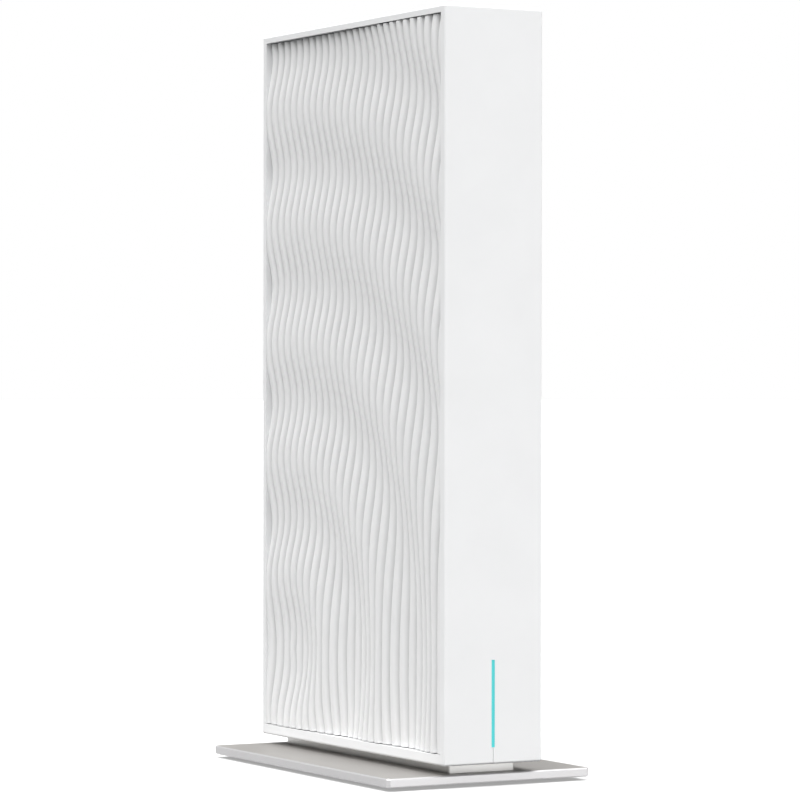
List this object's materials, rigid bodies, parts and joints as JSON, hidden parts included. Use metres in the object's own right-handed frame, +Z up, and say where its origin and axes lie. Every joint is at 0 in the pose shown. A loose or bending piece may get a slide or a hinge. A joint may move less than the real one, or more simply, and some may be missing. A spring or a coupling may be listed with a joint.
{
  "type": "wireless router",
  "caption": "Slim upright wireless router: flat white box with rippled side panels and a front light bar, on a thin metal base plate, with network and power sockets at the rear.",
  "frame": {"origin": "on the table, below the middle of the body", "axes": "+Z up, -Y out of the narrow front face with the light bar, +Y out of the ports, X across the narrow width"},
  "size_m": [0.062, 0.105, 0.206],
  "materials": {
    "white_shell": "fine satin moulded ABS",
    "white_panel": "satin moulded ABS",
    "bezel_plastic": "fine texture",
    "light_bar": "clear diffusing acrylic, lit cyan",
    "neck_metal": "satin, like the edges of the plate",
    "plate_metal": "bead-blasted and tinted, bright bevels",
    "foot_rubber": "matte",
    "screw_steel": "zinc plated",
    "board_green": "solder mask",
    "light_chip": "moulded lens",
    "part_black": "moulded epoxy",
    "pad_grey": "soft",
    "sink_aluminium": "extruded",
    "shield_tin": "tin plated",
    "button_plastic": "satin",
    "plunger_plastic": "satin",
    "antenna_board": "solder mask",
    "lead_jacket": "FEP jacket",
    "jack_plastic": "moulded nylon",
    "contact_gold": "gold plated"
  },
  "bodies": {
    "root": {"antenna_lead_top_front": "lead_jacket", "antenna_lead_top_rear": "lead_jacket", "antenna_lead_wall_front": "lead_jacket", "antenna_lead_wall_rear": "lead_jacket", "antenna_pads": "pad_grey", "antenna_plugs": "shield_tin", "antenna_sockets": "part_black", "antenna_top_front": "antenna_board", "antenna_top_rear": "antenna_board", "antenna_wall_front": "antenna_board", "antenna_wall_rear": "antenna_board", "base_plate": "plate_metal", "board_screws": "screw_steel", "capacitors": "sink_aluminium", "dc_jack_body": "part_black", "dc_jack_pin": "shield_tin", "flash_chip": "part_black", "heatsink": "sink_aluminium", "housing_frame": "white_shell", "lan_jack_one_body": "jack_plastic", "lan_jack_one_contacts": "contact_gold", "lan_jack_one_shell": "shield_tin", "lan_jack_two_body": "jack_plastic", "lan_jack_two_contacts": "contact_gold", "lan_jack_two_shell": "shield_tin", "left_wave_panel": "white_panel", "light_board": "board_green", "light_chips": "light_chip", "light_guide": "light_bar", "light_header": "part_black", "main_board": "board_green", "memory_chip": "part_black", "neck": "neck_metal", "port_bezel": "bezel_plastic", "port_transformers": "part_black", "power_inductor": "part_black", "processor": "part_black", "radio_chip_high": "part_black", "radio_chip_low": "part_black", "radio_shield_high": "shield_tin", "radio_shield_low": "shield_tin", "reset_switch_case": "part_black", "right_wave_panel": "white_panel", "rubber_feet": "foot_rubber", "stand_screws": "screw_steel", "thermal_pad": "pad_grey", "wan_jack_body": "jack_plastic", "wan_jack_contacts": "contact_gold", "wan_jack_shell": "shield_tin", "wps_switch_case": "part_black"},
    "wps_cap": {"wps_button": "button_plastic"},
    "wps_plunger": {"wps_switch_plunger": "plunger_plastic"},
    "reset_plunger": {"reset_switch_plunger": "plunger_plastic"}
  },
  "joints": [
    {"name": "wps_press", "type": "slide", "parent": "root", "child": "wps_cap", "axis": [0, -1, 0], "range_m": [0, 0.0005], "stiffness_N_per_m": 3000},
    {"name": "wps_plunger_press", "type": "slide", "parent": "root", "child": "wps_plunger", "axis": [0, -1, 0], "range_m": [0, 0.0005]},
    {"name": "reset_press", "type": "slide", "parent": "root", "child": "reset_plunger", "axis": [0, -1, 0], "range_m": [0, 0.00025], "stiffness_N_per_m": 3000}
  ],
  "couplings": [
    {"joint": "wps_plunger_press", "follows": "wps_press", "ratio": 1}
  ]
}
